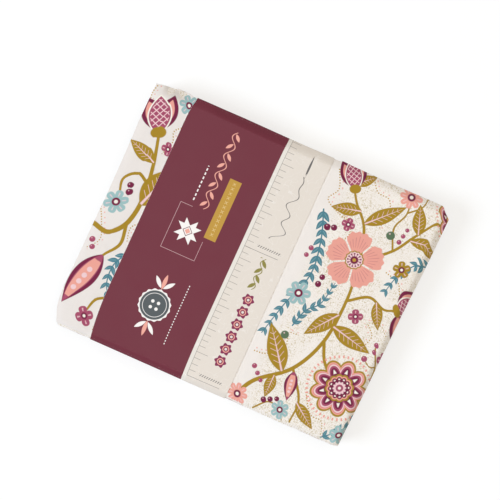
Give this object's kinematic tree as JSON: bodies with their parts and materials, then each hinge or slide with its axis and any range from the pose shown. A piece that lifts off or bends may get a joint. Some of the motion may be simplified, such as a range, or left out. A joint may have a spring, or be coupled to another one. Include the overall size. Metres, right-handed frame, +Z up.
{
  "type": "fat quarter bundle",
  "caption": "Flat stack of folded cotton quilting fabric cuts, held together by a wide printed paper band that wraps right round it.",
  "frame": {"origin": "middle of the bounding box's underside, on the surface that the bundle lies on", "axes": "+X along the bundle's long side, from the raw ends to the folded ends; +Y across it, towards the fold of the top layer; +Z up"},
  "size_m": [0.2428, 0.198, 0.0356],
  "materials": {
    "cotton_01": "matte plain-woven cotton, printed",
    "cotton_02": "matte plain-woven cotton, printed",
    "cotton_03": "matte plain-woven cotton, printed",
    "cotton_04": "matte plain-woven cotton, printed",
    "cotton_05": "matte plain-woven cotton, printed",
    "cotton_06": "matte plain-woven cotton, printed",
    "cotton_07": "matte plain-woven cotton, printed",
    "cotton_08": "matte plain-woven cotton, printed",
    "cotton_09": "matte plain-woven cotton, printed",
    "cotton_10": "matte plain-woven cotton, printed",
    "cotton_11": "matte plain-woven cotton, printed",
    "cotton_12": "matte plain-woven cotton, printed",
    "cotton_13": "matte plain-woven cotton, printed",
    "cotton_14": "matte plain-woven cotton, printed",
    "cotton_15": "matte plain-woven cotton, printed",
    "cotton_16": "matte plain-woven cotton, printed",
    "printed_paper": "uncoated printed paper, burgundy with a cream strip"
  },
  "bodies": {
    "root": {"fat_quarter_01": "cotton_01", "fat_quarter_02": "cotton_02", "fat_quarter_03": "cotton_03", "fat_quarter_04": "cotton_04", "fat_quarter_05": "cotton_05", "fat_quarter_06": "cotton_06", "fat_quarter_07": "cotton_07", "fat_quarter_08": "cotton_08", "fat_quarter_09": "cotton_09", "fat_quarter_10": "cotton_10", "fat_quarter_11": "cotton_11", "fat_quarter_12": "cotton_12", "fat_quarter_13": "cotton_13", "fat_quarter_14": "cotton_14", "fat_quarter_15": "cotton_15", "fat_quarter_16": "cotton_16", "paper_band": "printed_paper"}
  },
  "joints": []
}
